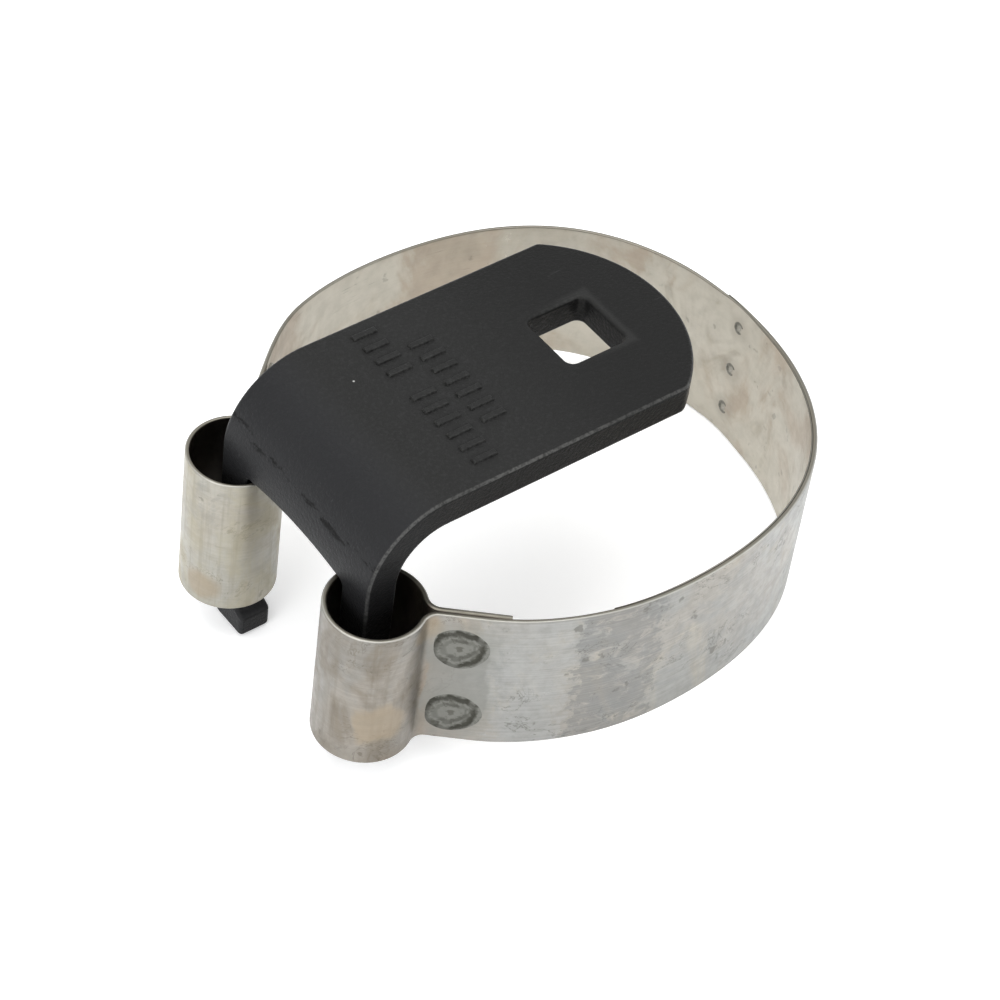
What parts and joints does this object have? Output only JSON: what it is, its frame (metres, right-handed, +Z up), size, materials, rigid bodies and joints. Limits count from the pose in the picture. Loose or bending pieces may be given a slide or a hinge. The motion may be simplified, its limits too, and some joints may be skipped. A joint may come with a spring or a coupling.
{
  "type": "oil filter wrench",
  "caption": "Band-type oil filter wrench: a bent black steel drive plate with a square drive hole and prongs that hold a rolled-eye spring steel band.",
  "frame": {"origin": "ground point under the middle of the wrench's bounding box, standing on its prong tips and the back of its band", "axes": "+X from the prongs towards the drive hole end, +Y across the plate, +Z up"},
  "size_m": [0.1136, 0.0956, 0.0574],
  "materials": {
    "black_oxide_steel": "satin black oxide",
    "spring_steel": "satin, stained",
    "weld_steel": "heat-darkened"
  },
  "bodies": {
    "arm": {"drive_plate": "black_oxide_steel"},
    "rear_band": {"rear_strap": "spring_steel", "seam_weld_1": "weld_steel", "seam_weld_2": "weld_steel", "seam_weld_3": "weld_steel", "rear_eye_weld_1": "weld_steel", "rear_eye_weld_2": "weld_steel"},
    "front_band": {"front_strap": "spring_steel", "front_eye_weld_1": "weld_steel", "front_eye_weld_2": "weld_steel"}
  },
  "joints": [
    {"name": "band_slide", "type": "slide", "parent": "arm", "child": "rear_band", "axis": [-0.0815, 0, -0.9967], "range_m": [-0.0003, 0.0028]},
    {"name": "strap_flex", "type": "hinge", "parent": "rear_band", "child": "front_band", "pos_m": [0.05428, 0.00085, 0.0159], "axis": [0.0815, 0, 0.9967], "range_deg": [-2.5, 0], "stiffness_Nm_per_rad": 20}
  ]
}
